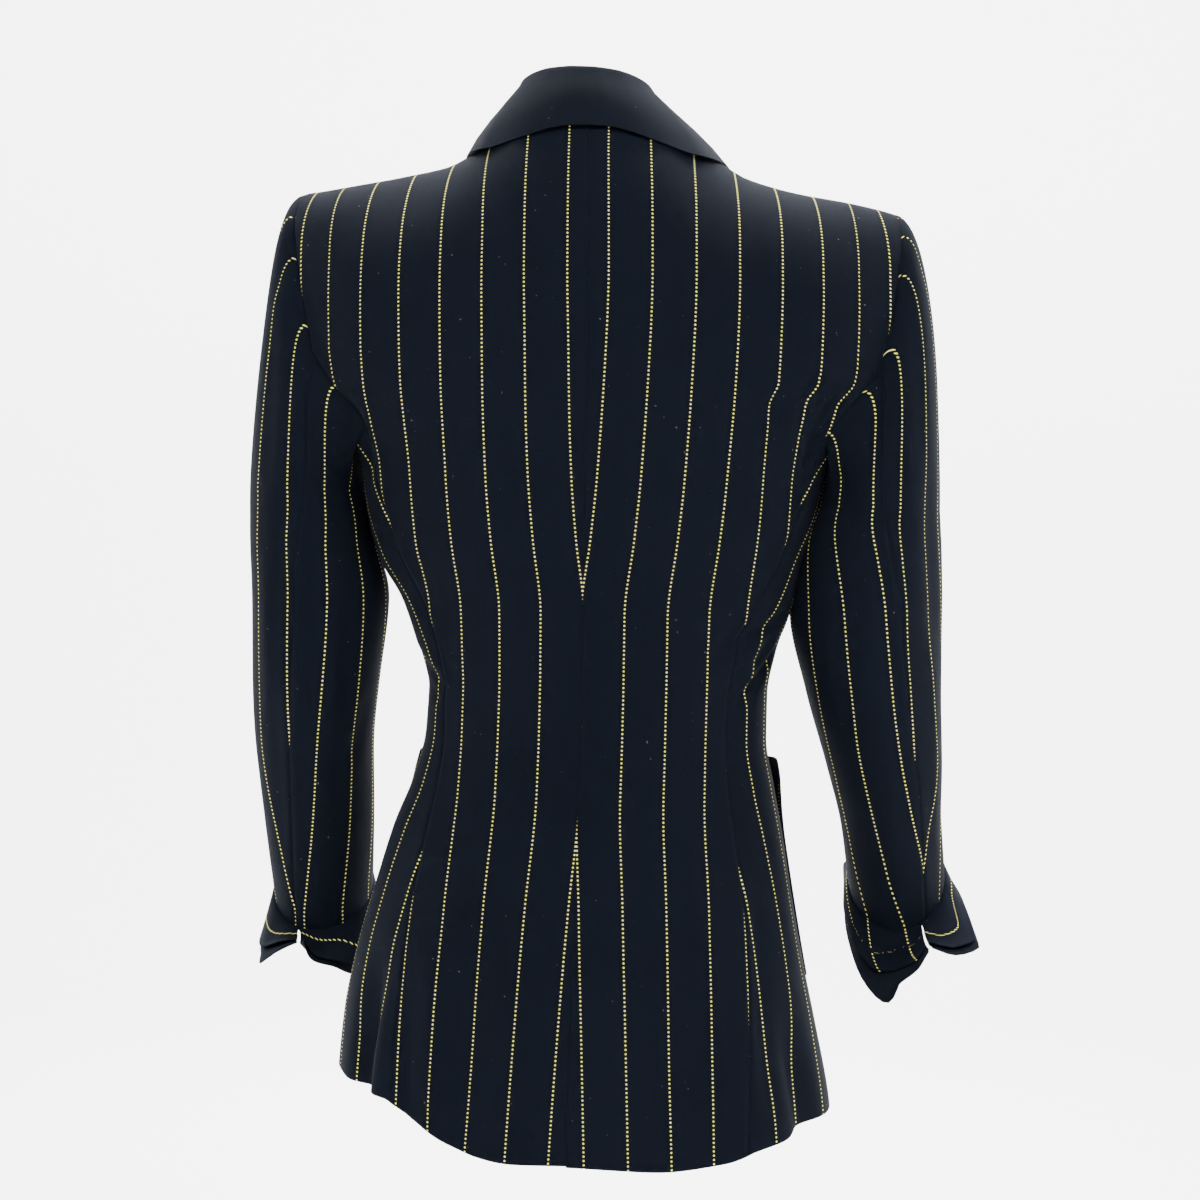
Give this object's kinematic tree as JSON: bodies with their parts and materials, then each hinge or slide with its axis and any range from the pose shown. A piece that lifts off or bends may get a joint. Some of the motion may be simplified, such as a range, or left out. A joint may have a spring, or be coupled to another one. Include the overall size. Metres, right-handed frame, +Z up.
{
  "type": "blazer",
  "caption": "Long fitted blazer held in its worn, hollow form: notched lapels, plain collar, flared turned-out cuffs, patch pockets and a curved hem.",
  "frame": {"origin": "midway between the two shoulder tips, where the wearer's shoulders hold the blazer", "axes": "+Z up, +Y out of the front of the blazer, -Y out of its back, +X towards the wearer's right arm"},
  "size_m": [0.544, 0.2596, 0.7638],
  "materials": {
    "striped_wool": "fine twill with dotted pinstripes",
    "plain_wool": "fine plain twill",
    "horn": "dark, softly polished"
  },
  "bodies": {
    "root": {"back_left": "striped_wool", "back_right": "striped_wool", "side_left": "striped_wool", "side_right": "striped_wool", "front_left": "striped_wool", "front_right": "striped_wool", "lapel_left": "plain_wool", "lapel_right": "plain_wool", "collar": "plain_wool", "sleeve_upper_left": "striped_wool", "sleeve_under_left": "striped_wool", "sleeve_upper_right": "striped_wool", "sleeve_under_right": "striped_wool", "cuff_left": "striped_wool", "cuff_right": "striped_wool", "cuff_facing_left": "plain_wool", "cuff_facing_right": "plain_wool", "pocket_left": "striped_wool", "pocket_right": "striped_wool", "button_top": "horn", "button_low": "horn"}
  },
  "joints": []
}
